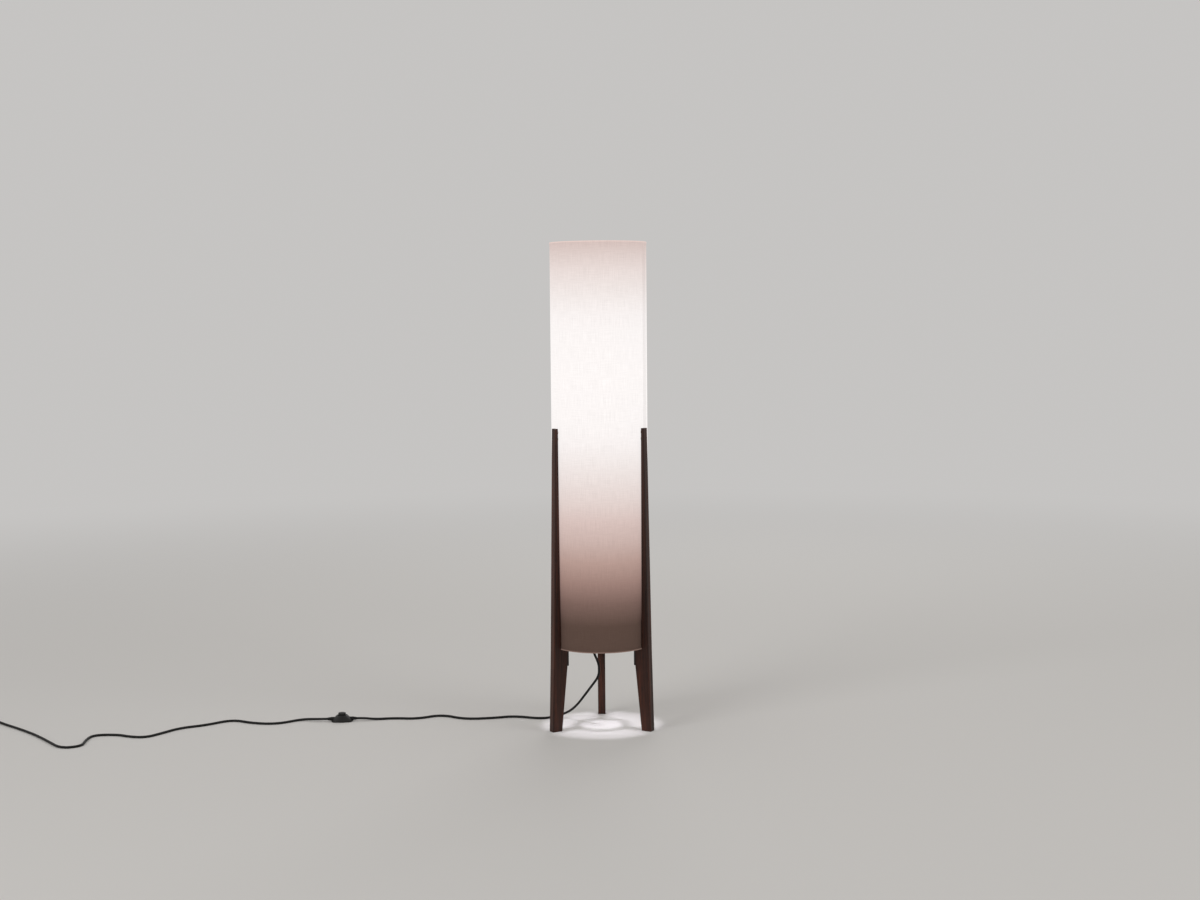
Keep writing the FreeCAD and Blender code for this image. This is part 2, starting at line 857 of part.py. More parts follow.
lamp_route = [
    gland_exit,
    lamp_axis + Vector(0, 0, 668),
    Vector(6, -11, 590),
    Vector(14, -9, 510),
    Vector(17, -8, 430),
    Vector(10, -8, 352),
    Vector(-8, -9, 280),
    Vector(-30, -12, 205),
    Vector(3, -9, 135),
    Vector(-34, 10, 82),
    Vector(-72, 52, 24),
    Vector(-112, 76, 3),
    Vector(-152, 46, 3),
    Vector(-222, 80, 3),
    Vector(-275, 60, 3),
    Vector(-350, 50, 3),
    Vector(-410, 103, 3),
    Vector(-470, 58, 3),
    Vector(-525, 68, 3),
    Vector(-575, 58, 3),
    switch_right + switch_way * 20,
    switch_right,
]

mains_route = [
    switch_left,
    switch_left - switch_way * 25,
    Vector(-762, 66, 3),
    Vector(-817, 14, 3),
    Vector(-880, 24, 3),
    Vector(-940, 66, 3),
    Vector(-995, 8, 3),
    Vector(-1055, -22, 3),
    Vector(-1088, -78, 3),
    Vector(-1116, -117, 3),
    Vector(-1158, -108, 3),
    Vector(-1190, -86, 3),
    Vector(-1254, -88, 3),
    Vector(-1254, -150, 3),
    Vector(-1248, -199, 3),
    Vector(-1293, -219, 3),
    Vector(-1343, -150, 3),
    Vector(-1398, -78, 3),
    Vector(-1458, -14, 3),
    Vector(-1512, 38, 3),
    coil_start + Vector(coil_lead_in, 0, 0),
    coil_start,
]


def arc_from(start, way, end):
    """The arc that leaves start along way and ends at end."""
    chord = end - start
    along = Vector(chord).normalize()
    lean = way.getAngle(along)
    middle_way = (Vector(way) + along).normalize()
    return Part.Arc(start, start + middle_way * (chord.Length / 2 / math.cos(lean / 2)), end).toShape()


def two_arcs(start, start_way, end, end_way):
    """Two arcs that meet smoothly and join two points with given directions."""
    chord = end - start
    ways = start_way + end_way
    slack = 4 - ways.dot(ways)
    across = chord.dot(ways)
    if slack < 1e-9:
        reach = chord.dot(chord) / (2 * across)
    else:
        reach = (math.sqrt(across ** 2 + slack * chord.dot(chord)) - across) / slack
    join = (start + start_way * reach + end - end_way * reach) * 0.5
    return [arc_from(start, start_way, join), arc_from(end, end_way * -1, join)]


def wound_path(place_at, quarters, tail_in, tail_out, end_way):
    """A winding through place_at(quarter turns), with a straight stretch at each end."""
    step = 1e-4
    places = [place_at(k) for k in range(quarters + 1)]
    ways = [(place_at(k + step) - place_at(k - step)).normalize() for k in range(quarters + 1)]
    ways[0] = ways[-1] = end_way
    edges = [Part.LineSegment(places[0] - ways[0] * tail_in, places[0]).toShape()]
    for k in range(quarters):
        edges += two_arcs(places[k], ways[k], places[k + 1], ways[k + 1])
    edges.append(Part.LineSegment(places[-1], places[-1] + ways[-1] * tail_out).toShape())
    return Part.Wire(Part.__sortEdges__(edges))


def coil_place(quarter):
    """Lead in the coil: inwards on the floor, up a layer in a half turn, outwards on top."""
    past = quarter - 4 * coil_turns_per_layer
    climb = max(-1.0, min(1.0, past))
    turns_out = abs(past) / 4 if abs(past) > 1 else (1 + past ** 2) / 8
    radius = coil_inner_radius + coil_pitch * turns_out
    level = coil_low + coil_pitch * (1 + math.sin(math.pi * climb / 2)) / 2
    angle = math.radians(90 + 90 * quarter)
    return coil_centre + Vector(radius * math.cos(angle), radius * math.sin(angle), level)


def least_gap(place_at, quarters, radius, spread=48):
    """Smallest clear distance between turns of a winding, measured on points."""
    points = [place_at(k / spread) for k in range(int(quarters * spread) + 1)]
    least = min(
        a.distanceToPoint(b)
        for index, a in enumerate(points)
        for b in points[index + int(2.2 * spread):]
    )
    return least - 2 * radius


def spring_place(quarter):
    """Wire of the button's spring, between the block and the button's flange."""
    low = block_top + touch_gap + spring_wire_radius
    high = flange_low - touch_gap - spring_wire_radius
    angle = math.radians(90 * quarter)
    level = low + (high - low) * quarter / (4 * spring_turns)
    return Vector(spring_radius * math.cos(angle), spring_radius * math.sin(angle), level)


coil_quarters = round(8 * coil_turns_per_layer)
coil_path = wound_path(coil_place, coil_quarters, 2 * cord_radius, coil_tail, Vector(-1, 0, 0))
print("coil gap", round(least_gap(coil_place, coil_quarters, cord_radius), 2))
spring_tail = 2 * spring_wire_radius
spring_path = wound_path(spring_place, 4 * spring_turns, spring_tail, spring_tail, Vector(0, 1, 0))
print("spring gap", round(least_gap(spring_place, 4 * spring_turns, spring_wire_radius), 2))

no_move = Vector(0, 0, 0)
save("cord_lamp", swept(rounded_path(lamp_route, "lamp lead"), cord_radius, "lamp lead"), at=no_move)
save("cord_mains", swept(rounded_path(mains_route, "mains lead"), cord_radius, "mains lead"), at=no_move)
save("cord_coil", swept(coil_path, cord_radius, "coil"), at=no_move)
save_switch("switch_spring", swept(spring_path, spring_wire_radius, "spring"))


# --- Tie and plug -----------------------------------------------------------------------

def rounded_slab(low, high, bottom, top, corner, width):
    """A bar of rounded rectangular section in X and Z, even in width about Y = 0."""
    slab = Part.makeBox(high - low, width, top - bottom, Vector(low, -width / 2, bottom))
    return rounded(slab, corner, lambda edge: edge.BoundBox.YLength > width / 2)


def make_tie():
    """A strap round the turns of the coil, on the side away from its two ends."""
    coil_middle = coil_centre + Vector(0, 0, coil_low + coil_pitch / 2)
    low = coil_place(4 * coil_turns_per_layer).distanceToPoint(coil_middle) - cord_radius - tie_gap
    high = coil_inner_radius + coil_pitch * (coil_turns_per_layer - 0.5) + cord_radius + tie_gap
    bottom = coil_low - cord_radius - touch_gap
    top = coil_high + cord_radius + tie_gap
    inside = rounded_slab(low, high, bottom, top, tie_corner, 3 * tie_width)
    outside = rounded_slab(
        low - tie_thickness, high + tie_thickness, bottom - tie_thickness, top + tie_thickness,
        tie_corner + tie_thickness, tie_width
    )
    return spun(outside.cut(inside), -90)


def make_plug_body():
    """Moulded plug and its ribbed relief in one piece, modelled from the lead along +X."""
    end = plug_relief_length + plug_length
    body = rounded_slab(plug_relief_length, end, -coil_high, coil_high, plug_face_round, plug_width)
    is_side_edge = lambda edge: (
        edge.BoundBox.ZLength > 2 * (coil_high - plug_face_round) - 1e-3
        or edge.BoundBox.XLength > plug_length - 2 * plug_face_round - 1e-3
    )
    body = rounded(body, plug_side_round, is_side_edge)
    tip_radius = cord_radius + relief_tip_wall
    steps = [(0, 0), (tip_radius, 0)]
    pitch = (plug_relief_length - plug_relief_collar) / relief_ribs
    for rib in range(relief_ribs):
        radius = tip_radius + (plug_relief_radius - tip_radius) * (rib + 1) / relief_ribs
        groove_end = (rib + 1) * pitch
        groove_start = groove_end - relief_groove_share * pitch
        steps += [(radius, groove_start), (radius - relief_groove, groove_start)]
        steps += [(radius - relief_groove, groove_end), (radius, groove_end)]
    root = plug_relief_length + plug_relief_sunk
    relief = turned(*steps, (plug_relief_radius, root), (0, root))
    relief.rotate(Vector(0, 0, 0), Vector(0, 1, 0), 90)
    return body.fuse(relief).removeSplitter()


def make_blades():
    start = plug_relief_length + plug_length
    is_tip_edge = lambda edge: (
        edge.BoundBox.XMin > start + blade_length - 1e-6 and edge.BoundBox.YLength > blade_thickness / 2
    )
    blades = []
    for side in (-1, 1):
        corner = Vector(start, side * blade_pitch / 2 - blade_thickness / 2, -blade_width / 2)
        blade = Part.makeBox(blade_length, blade_thickness, blade_width, corner)
        blades.append(rounded(blade, blade_corner, is_tip_edge))
    return blades


plug_start = coil_centre + Vector(-coil_tail, coil_outer_radius, coil_high)
save("cord_tie", make_tie(), at=coil_centre)
save("plug_body", spun(make_plug_body(), 180), at=plug_start)
save("plug_blades", *[spun(blade, 180) for blade in make_blades()], at=plug_start)
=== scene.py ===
"""A column floor lamp: a tall linen shade between three walnut legs, lit, with its lead and foot switch.

Every length is in metres in the lamp's own frame: floor at Z = 0, +Z up, the viewer on the -Y side.
"""
import math

import bmesh
import bpy
from mathutils import Matrix, Vector


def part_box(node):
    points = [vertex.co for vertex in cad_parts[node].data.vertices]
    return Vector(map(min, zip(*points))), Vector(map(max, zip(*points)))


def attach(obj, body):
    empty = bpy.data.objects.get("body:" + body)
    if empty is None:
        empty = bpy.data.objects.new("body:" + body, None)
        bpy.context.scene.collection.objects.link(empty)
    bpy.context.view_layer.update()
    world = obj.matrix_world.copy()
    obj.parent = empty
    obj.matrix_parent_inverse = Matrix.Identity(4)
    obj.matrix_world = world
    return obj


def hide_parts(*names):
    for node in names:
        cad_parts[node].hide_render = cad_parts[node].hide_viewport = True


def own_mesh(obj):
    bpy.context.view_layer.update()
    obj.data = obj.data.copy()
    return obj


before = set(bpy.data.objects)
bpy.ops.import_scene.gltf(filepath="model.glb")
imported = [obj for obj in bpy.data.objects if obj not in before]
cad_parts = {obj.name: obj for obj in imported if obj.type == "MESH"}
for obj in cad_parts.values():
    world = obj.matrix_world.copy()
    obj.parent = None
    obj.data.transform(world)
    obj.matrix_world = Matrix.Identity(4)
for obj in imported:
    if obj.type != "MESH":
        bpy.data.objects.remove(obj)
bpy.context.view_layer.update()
MM = 0.001


# --- The view -------------------------------------------------------------------------------
# The camera stands 4.4 metres away at hip height and looks a little down, as the photograph was
# taken: the lamp stands in the middle of the frame and its lead runs out to the left.

wall_low, wall_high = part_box("shade_skin")
lamp_axis = Vector(((wall_low.x + wall_high.x) / 2, (wall_low.y + wall_high.y) / 2, 0))

frame_width_px = 1200
focal_length_px = 1779.3
camera_back = 4386 * MM
camera_aside = 1 * MM
camera_height = 1030 * MM
camera_tilt = math.radians(90 - 4.44)
camera_roll = math.radians(-0.5)

camera = bpy.data.objects.new("camera", bpy.data.cameras.new("camera"))
bpy.context.collection.objects.link(camera)
camera.data.sensor_width = 36
camera.data.lens = camera.data.sensor_width * focal_length_px / frame_width_px
camera.matrix_world = (
    Matrix.Translation(lamp_axis + Vector((camera_aside, -camera_back, camera_height)))
    @ Matrix.Rotation(camera_tilt, 4, "X")
    @ Matrix.Rotation(camera_roll, 4, "Z")
)
bpy.context.scene.camera = camera


# --- Legs -----------------------------------------------------------------------------------
# Three boards of solid American walnut, planed, tapered and wiped with oil. The grain runs up
# each leg, every leg comes from another part of the plank, and the long edges are eased.

def linear(srgb_hex):
    """The linear colour of an sRGB hex value."""
    channels = [int(srgb_hex[k:k + 2], 16) / 255 for k in (1, 3, 5)]
    return [c / 12.92 if c <= 0.04045 else ((c + 0.055) / 1.055) ** 2.4 for c in channels] + [1.0]


def set_inputs(node, inputs):
    """Give each socket a link, a colour from its sRGB hex, or a plain value."""
    for name, value in dict(inputs).items():
        socket = node.inputs[name]
        if isinstance(value, bpy.types.NodeSocket):
            node.id_data.links.new(value, socket)
        else:
            socket.default_value = linear(value) if isinstance(value, str) else value


def add_node(material, kind, inputs=(), stops=(), **settings):
    """Add a node with its options and sockets; stops are a colour ramp's (position, hex) pairs."""
    node = material.node_tree.nodes.new(kind)
    for option, value in settings.items():
        setattr(node, option, value)
    if stops:
        colours = node.color_ramp.elements
        for element, (position, colour) in zip(colours, (stops[0], stops[-1])):
            element.position, element.color = position, linear(colour)
        for position, colour in stops[1:-1]:
            colours.new(position).color = linear(colour)
    set_inputs(node, inputs)
    return node


def new_material(name, surface_values):
    """A material and its surface shader, with the values that are the same all over it."""
    material = bpy.data.materials.new(name)
    material.use_nodes = True
    surface = material.node_tree.nodes["Principled BSDF"]
    set_inputs(surface, surface_values)
    return material, surface


def coat(material, *node_names):
    """Give carried-over CAD nodes their finish."""
    for name in node_names:
        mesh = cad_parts[name].data
        mesh.materials.clear()
        mesh.materials.append(material)


leg_angles = {"leg_left": 210, "leg_right": -30, "leg_rear": 90}     # degrees round the lamp from +X
growth_wave = 12.8 * MM   # gives a dark line every 8 mm across each face
figure_width = 16 * MM
pore_width = 0.9 * MM     # real pores are a third of this, too fine to show
grain_stretch = 0.045     # the figure is some twenty times as long as it is wide
plank_step = Vector((0.31, 0.17, 0.20))     # from one leg's place in the plank to the next


def oiled_walnut(name, angle, plank_place):
    """Oiled walnut: red-brown with darker growth lines and short pores, and a satin sheen."""
    walnut, surface = new_material(name, {"IOR": 1.47, "Specular IOR Level": 0.35})
    on_lamp = add_node(walnut, "ShaderNodeTexCoord").outputs["Object"]
    on_leg = add_node(walnut, "ShaderNodeMapping", {
        "Vector": on_lamp, "Location": lamp_axis, "Rotation": (0, 0, math.radians(angle)),
    }, vector_type="TEXTURE").outputs["Vector"]
    in_plank = add_node(walnut, "ShaderNodeMapping", {
        "Vector": on_leg, "Location": plank_place, "Scale": (1, 1, grain_stretch),
    }).outputs["Vector"]
    figure = add_node(walnut, "ShaderNodeTexNoise", {
        "Vector": in_plank, "Scale": 1 / figure_width, "Detail": 3, "Roughness": 0.5,
    }).outputs["Fac"]
    lines = add_node(walnut, "ShaderNodeTexWave", {
        "Vector": in_plank, "Scale": 1 / growth_wave, "Distortion": 6, "Detail": 2, "Detail Scale": 0.6,
    }, bands_direction="DIAGONAL", wave_profile="SAW").outputs["Fac"]
    pores = add_node(walnut, "ShaderNodeTexNoise", {
        "Vector": in_plank, "Scale": 1 / pore_width, "Detail": 1,
    }).outputs["Fac"]
    heartwood = add_node(walnut, "ShaderNodeValToRGB", {"Fac": figure}, stops=[
        (0.30, "#271107"), (0.50, "#3c1c0e"), (0.70, "#582c18"),
    ]).outputs["Color"]
    latewood = add_node(walnut, "ShaderNodeValToRGB", {"Fac": lines}, stops=[
        (0.0, "#ffffff"), (0.65, "#e0d2c8"), (1.0, "#97806f"),
    ]).outputs["Color"]
    pits = add_node(walnut, "ShaderNodeValToRGB", {"Fac": pores}, stops=[
        (0.33, "#5d4a40"), (0.45, "#ffffff"),
    ]).outputs["Color"]
    lined = add_node(walnut, "ShaderNodeMixRGB", {
        "Fac": 0.8, "Color1": heartwood, "Color2": latewood,
    }, blend_type="MULTIPLY").outputs["Color"]
    colour = add_node(walnut, "ShaderNodeMixRGB", {
        "Fac": 0.7, "Color1": lined, "Color2": pits,
    }, blend_type="MULTIPLY").outputs["Color"]
    gloss = add_node(walnut, "ShaderNodeMapRange", {
        "Value": figure, "From Min": 0.3, "From Max": 0.7, "To Min": 0.52, "To Max": 0.40,
    }).outputs["Result"]
    bumps = add_node(walnut, "ShaderNodeBump", {
        "Height": pores, "Distance": 0.15 * MM, "Strength": 0.5,
    }).outputs["Normal"]
    set_inputs(surface, {"Base Color": colour, "Roughness": gloss, "Normal": bumps})
    return walnut


for number, (leg, angle) in enumerate(leg_angles.items()):
    coat(oiled_walnut("oiled_walnut_" + leg, angle, plank_step * number), leg)


# --- Steel frames and screws ----------------------------------------------------------------
# Two frames of cut and bent steel plate, powder coated matt black: one under the shade with a
# tab down each leg, one at the leg tops. Zinc plated pan-head screws and nylon spacers hold them.

patch_low, patch_high = 0.35, 0.65     # most of a patchy noise lies between these


def mottled(name, colours, patch, roughness, bump, surface_values):
    """A finish whose colour, gloss and level vary a little over patches of one size."""
    finish, surface = new_material(name, surface_values)
    on_lamp = add_node(finish, "ShaderNodeTexCoord").outputs["Object"]
    patches = add_node(finish, "ShaderNodeTexNoise", {
        "Vector": on_lamp, "Scale": 1 / patch, "Detail": 2, "Roughness": 0.6,
    }).outputs["Fac"]
    colour = add_node(finish, "ShaderNodeValToRGB", {"Fac": patches}, stops=[
        (patch_low, colours[0]), (patch_high, colours[1]),
    ]).outputs["Color"]
    gloss = add_node(finish, "ShaderNodeMapRange", {
        "Value": patches, "From Min": patch_low, "From Max": patch_high,
        "To Min": roughness[0], "To Max": roughness[1],
    }).outputs["Result"]
    bumps = add_node(finish, "ShaderNodeBump", {
        "Height": patches, "Distance": bump, "Strength": 0.6,
    }).outputs["Normal"]
    set_inputs(surface, {"Base Color": colour, "Roughness": gloss, "Normal": bumps})
    return finish


# Baked powder: matt, with a fine orange peel about a millimetre from crest to crest.
powder_coat = mottled(
    "black_powder_coat", colours=("#13100e", "#1c1815"), patch=1.2 * MM, roughness=(0.50, 0.62),
    bump=0.06 * MM, surface_values={"IOR": 1.5, "Specular IOR Level": 0.4},
)
coat(powder_coat, "lower_frame", "upper_frame")

# The cut edges of the plate are eased before it is coated.
weld_gap = 0.01 * MM
plate_edge_round = 0.5 * MM
plate_edge_angle = math.radians(50)     # sharper turns than this are edges
for plate in ("lower_frame", "upper_frame"):
    plate_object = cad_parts[plate]
    plate_object.modifiers.new("weld", "WELD").merge_threshold = weld_gap
    edge_round = plate_object.modifiers.new("edge_round", "BEVEL")
    edge_round.width, edge_round.segments = plate_edge_round, 2
    edge_round.limit_method, edge_round.angle_limit = "ANGLE", plate_edge_angle

# Zinc: a soft grey metal with a faint spangle.
zinc = mottled(
    "zinc_plate", colours=("#a6aaaf", "#c6c8ca"), patch=1.4 * MM, roughness=(0.26, 0.42),
    bump=0.01 * MM, surface_values={"Metallic": 1.0},
)
coat(zinc, "nipple_nut")


def wave_scale(pitch):
    """The scale at which the bands of a wave texture lie one pitch apart."""
    return math.pi / (10 * pitch)


def rolled_thread(name, pitch, bump, surface_values):
    """A metal with a thread rolled into it: round crests, one pitch apart up the axis."""
    metal, surface = new_material(name, surface_values)
    on_lamp = add_node(metal, "ShaderNodeTexCoord").outputs["Object"]
    crests = add_node(metal, "ShaderNodeTexWave", {
        "Vector": on_lamp, "Scale": wave_scale(pitch),
    }, bands_direction="Z").outputs["Fac"]
    bumps = add_node(metal, "ShaderNodeBump", {"Height": crests, "Distance": bump}).outputs["Normal"]
    set_inputs(surface, {"Normal": bumps})
    return metal


# The nipple has a fine thread, a millimetre from crest to crest.
zinc_thread = rolled_thread("rolled_thread_on_zinc", pitch=1.0 * MM, bump=0.5 * MM, surface_values={
    "Base Color": "#b3b6ba", "Metallic": 1.0, "Roughness": 0.34,
})
coat(zinc_thread, "holder_nipple")

recess_reach = 0.58     # of the head's radius
recess_slot = 0.30      # of the head's radius
recess_depth = 0.70     # of the head's height
slot_taper = 0.55       # how much of its width the cutter keeps at its tip
head_search = 1.01      # of the head's radius, to take in the points on its rim
smooth_turn = math.radians(35)     # sharper turns than this show as edges


def recessed_screws(name, node, heads, head_radius, head_height):
    """The screws of a node with a cross recess sunk in each head; heads are (centre, way in) pairs."""
    cutter = bmesh.new()
    for centre, way_in in heads:
        upright = way_in.to_track_quat("Z", "Y").to_matrix().to_4x4()
        for turn in (0, math.pi / 2):
            slot = bmesh.ops.create_cube(cutter, size=1)["verts"]
            for corner in slot:
                taper = slot_taper if corner.co.z > 0 else 1.0
                corner.co.x *= 2 * recess_reach * head_radius * taper
                corner.co.y *= recess_slot * head_radius * taper
                corner.co.z *= 2 * recess_depth * head_height
            place = Matrix.Translation(centre) @ upright @ Matrix.Rotation(turn, 4, "Z")
            bmesh.ops.transform(cutter, matrix=place, verts=slot)
    cutter_mesh = bpy.data.meshes.new(name + "_recess")
    cutter.to_mesh(cutter_mesh)
    cutter.free()
    cutter_object = bpy.data.objects.new(name + "_recess", cutter_mesh)
    whole = bpy.data.objects.new(name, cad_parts[node].data.copy())
    for thing in (cutter_object, whole):
        bpy.context.collection.objects.link(thing)
    whole.modifiers.new("weld", "WELD").merge_threshold = weld_gap
    cut = whole.modifiers.new("recess", "BOOLEAN")
    cut.object, cut.solver, cut.use_self = cutter_object, "EXACT", True
    bpy.context.view_layer.update()
    mesh = bpy.data.meshes.new_from_object(whole.evaluated_get(bpy.context.evaluated_depsgraph_get()))
    whole.modifiers.clear()
    whole.data = mesh
    bpy.data.objects.remove(cutter_object)
    mesh.shade_smooth()
    mesh.set_sharp_from_angle(angle=smooth_turn)
    mesh.materials.clear()
    mesh.materials.append(zinc)
    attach(whole, "lamp")
    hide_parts(node)
    return whole


def heads_at_legs(node, head_radius):
    """Centre and way in of each screw head: two at each leg, one above the other."""
    low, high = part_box(node)
    places = [corner.co - lamp_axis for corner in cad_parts[node].data.vertices]
    reach = head_radius * head_search
    heads = []
    for angle in leg_angles.values():
        outwards = Vector((math.cos(math.radians(angle)), math.sin(math.radians(angle)), 0))
        aside = Vector((-outwards.y, outwards.x, 0))
        for height in (low.z + head_radius, high.z - head_radius):
            level = Vector((0, 0, height))
            near = [
                place.dot(outwards) for place in places
                if abs(place.z - height) < reach
                and abs(place.dot(aside)) < reach
                and place.dot(outwards) > 0
            ]
            heads.append((lamp_axis + level + outwards * min(near), outwards))
    return heads


wood_screw_heads = {"lower": (4 * MM, 2.4 * MM), "upper": (3.4 * MM, 2.2 * MM)}     # radius and height
for end, (head_radius, head_height) in wood_screw_heads.items():
    node = end + "_screws"
    recessed_screws(
        end + "_wood_screws", node, heads_at_legs(node, head_radius), head_radius, head_height,
    )

# Nylon: the moulded black one is nearly matt, the undyed one lets a little light in.
moulded_nylon = mottled(
    "moulded_nylon", colours=("#100f0e", "#181715"), patch=0.8 * MM, roughness=(0.45, 0.60),
    bump=0.03 * MM, surface_values={"IOR": 1.53, "Specular IOR Level": 0.35},
)
coat(moulded_nylon, "cord_gland")
undyed_nylon = mottled(
    "undyed_nylon", colours=("#cfc5b6", "#ddd5c9"), patch=2.5 * MM, roughness=(0.40, 0.50),
    bump=0.01 * MM,
    surface_values={"IOR": 1.53, "Subsurface Weight": 0.2, "Subsurface Scale": 1 * MM},
)
coat(undyed_nylon, "leg_spacers")


# --- Shade: cloth and rims ------------------------------------------------------------------
# Off-white linen laminated to a stiff film, rolled into a tube with its end lapped over the start
# and bound over a wire ring at each rim. Its glow round the bulb is painted light: emission that
# fades with distance from the bulb, with painted shade at the lap and the ends and a painted
# highlight at each rim.

bulb_low, bulb_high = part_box("bulb_glass")
glow_height = bulb_high.z - (bulb_high.x - bulb_low.x) / 2
glow_reach = 700 * MM
thread_pitch = 1.7 * MM           # real threads are 0.6 mm apart, too fine to show
thread_share = 0.06               # how much the weave shows beside the slubs
slub_width = 1.8 * MM
slub_length = 38 * MM
skin_radius = (wall_high.x - wall_low.x) / 2
cloth_thickness = 0.6 * MM
lap_angle = math.radians(-20)     # beside the right leg, counted from +X
lap_width = 20 * MM
lap_ramp = 4 * MM
lap_blur = 1 * MM
lap_light = 0.9                   # of the light that one layer lets through
shade_low, shade_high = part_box("shade_hem_bottom")[0].z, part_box("shade_hem_top")[1].z
shade_middle = (shade_low + shade_high) / 2
half_shade = (shade_high - shade_low) / 2
end_dimming_reach = 70 * MM
end_light = 0.91                  # of the light away from the ends
painted_rim_highlight_width = 2.4 * MM
rim_blur = 0.6 * MM
painted_rim_highlight_colour = "#63524b"


def painted_glow_by_distance(material, height, stops):
    """Painted glow: a colour for the light that comes through, by distance above or below the bulb in
    mm.
    """
    from_bulb = add_node(material, "ShaderNodeMath", {
        0: height, 1: glow_height,
    }, operation="SUBTRACT").outputs[0]
    away = add_node(material, "ShaderNodeMath", {0: from_bulb}, operation="ABSOLUTE").outputs[0]
    share = add_node(material, "ShaderNodeMath", {
        0: away, 1: glow_reach,
    }, operation="DIVIDE").outputs[0]
    return add_node(material, "ShaderNodeValToRGB", {"Fac": share}, stops=[
        (distance * MM / glow_reach, colour) for distance, colour in stops
    ]).outputs["Color"]


def linen_with_painted_glow(name, base_colour, painted_glow_stops):
    """Linen: a matt cross weave with thick and thin threads, and a painted glow for the light that shows
    through it.
    """
    linen, surface = new_material(name, {
        "Roughness": 0.9, "IOR": 1.46, "Specular IOR Level": 0.2, "Sheen Weight": 0.03,
    })
    on_lamp = add_node(linen, "ShaderNodeTexCoord").outputs["Object"]
    round_lamp = add_node(linen, "ShaderNodeMapping", {
        "Vector": on_lamp, "Location": lamp_axis, "Rotation": (0, 0, lap_angle + math.pi),
    }, vector_type="TEXTURE").outputs["Vector"]
    place = add_node(linen, "ShaderNodeSeparateXYZ", {"Vector": round_lamp}).outputs
    turn = add_node(linen, "ShaderNodeMath", {
        0: place["Y"], 1: place["X"],
    }, operation="ARCTAN2").outputs[0]
    along_weft = add_node(linen, "ShaderNodeMath", {
        0: turn, 1: skin_radius,
    }, operation="MULTIPLY").outputs[0]
    on_cloth = add_node(linen, "ShaderNodeCombineXYZ", {
        "X": along_weft, "Y": place["Z"],
    }).outputs["Vector"]

    # Warp threads run up the shade and weft threads round it; each has its own slubs.
    ridges, slubs = [], []
    for direction, size, weight in (
        ("X", (1 / slub_width, 1 / slub_length, 1), 1.0),
        ("Y", (1 / slub_length, 1 / slub_width, 1), 0.8),
    ):
        ridges.append(add_node(linen, "ShaderNodeTexWave", {
            "Vector": on_cloth, "Scale": wave_scale(thread_pitch),
        }, bands_direction=direction).outputs["Fac"])
        stretched = add_node(linen, "ShaderNodeMapping", {
            "Vector": on_cloth, "Scale": size,
        }).outputs["Vector"]
        uneven = add_node(linen, "ShaderNodeTexNoise", {
            "Vector": stretched, "Scale": 1, "Detail": 2, "Roughness": 0.6,
        }).outputs["Fac"]
        slubs.append(add_node(linen, "ShaderNodeMath", {
            0: uneven, 1: weight,
        }, operation="MULTIPLY").outputs[0])
    weave = add_node(linen, "ShaderNodeMath", {
        0: ridges[0], 1: ridges[1],
    }, operation="MAXIMUM").outputs[0]
    slub = add_node(linen, "ShaderNodeMath", {0: slubs[0], 1: slubs[1]}, operation="ADD").outputs[0]
    threaded = add_node(linen, "ShaderNodeMath", {
        0: weave, 1: thread_share, 2: slub,
    }, operation="MULTIPLY_ADD").outputs[0]
    cloudy = add_node(linen, "ShaderNodeMapRange", {
        "Value": threaded, "From Min": 0.66, "From Max": 1.26, "To Min": 0.93, "To Max": 1.06,
    }).outputs["Result"]

    # Painted shade: the glow is dimmed where two layers of cloth at the lap let less light through.
    off_lap = add_node(linen, "ShaderNodeMath", {0: along_weft}, operation="ABSOLUTE").outputs[0]
    to_lap = math.pi * skin_radius - lap_width / 2
    lap_painted_shade = add_node(linen, "ShaderNodeMapRange", {
        "Value": off_lap, "From Min": to_lap - lap_blur, "From Max": to_lap,
        "To Min": 1.0, "To Max": lap_light,
    }).outputs["Result"]

    # Painted shade: the glow dims towards the open ends, where light is lost.
    from_middle = add_node(linen, "ShaderNodeMath", {
        0: place["Z"], 1: shade_middle,
    }, operation="SUBTRACT").outputs[0]
    off_middle = add_node(linen, "ShaderNodeMath", {0: from_middle}, operation="ABSOLUTE").outputs[0]
    painted_shade_share = add_node(linen, "ShaderNodeMapRange", {
        "Value": off_middle, "From Min": half_shade - end_dimming_reach, "From Max": half_shade,
        "To Min": lap_painted_shade, "To Max": end_light,
    }).outputs["Result"]
    passed = add_node(linen, "ShaderNodeMath", {0: cloudy, 1: painted_shade_share}, operation="MULTIPLY").outputs[0]

    # Painted highlight: a light band at each rim, where the fold catches the light from inside.
    painted_rim_highlight_mask = add_node(linen, "ShaderNodeMapRange", {
        "Value": off_middle, "From Min": half_shade - painted_rim_highlight_width - rim_blur,
        "From Max": half_shade - painted_rim_highlight_width,
    }).outputs["Result"]
    painted_rim_highlight = add_node(linen, "ShaderNodeVectorMath", {
        0: linear(painted_rim_highlight_colour)[:3], "Scale": painted_rim_highlight_mask,
    }, operation="SCALE").outputs[0]

    glow = add_node(linen, "ShaderNodeVectorMath", {
        0: painted_glow_by_distance(linen, place["Z"], painted_glow_stops), "Scale": passed,
    }, operation="SCALE").outputs[0]
    shown = add_node(linen, "ShaderNodeVectorMath", {0: glow, 1: painted_rim_highlight}, operation="ADD").outputs[0]
    colour = add_node(linen, "ShaderNodeVectorMath", {
        0: linear(base_colour)[:3], "Scale": cloudy,
    }, operation="SCALE").outputs[0]
    bumps = add_node(linen, "ShaderNodeBump", {
        "Height": threaded, "Distance": 0.2 * MM, "Strength": 0.5,
    }).outputs["Normal"]
    set_inputs(surface, {
        "Base Color": colour, "Normal": bumps, "Emission Color": shown, "Emission Strength": 1.0,
    })
    return linen


join_gap = 0.002 * MM


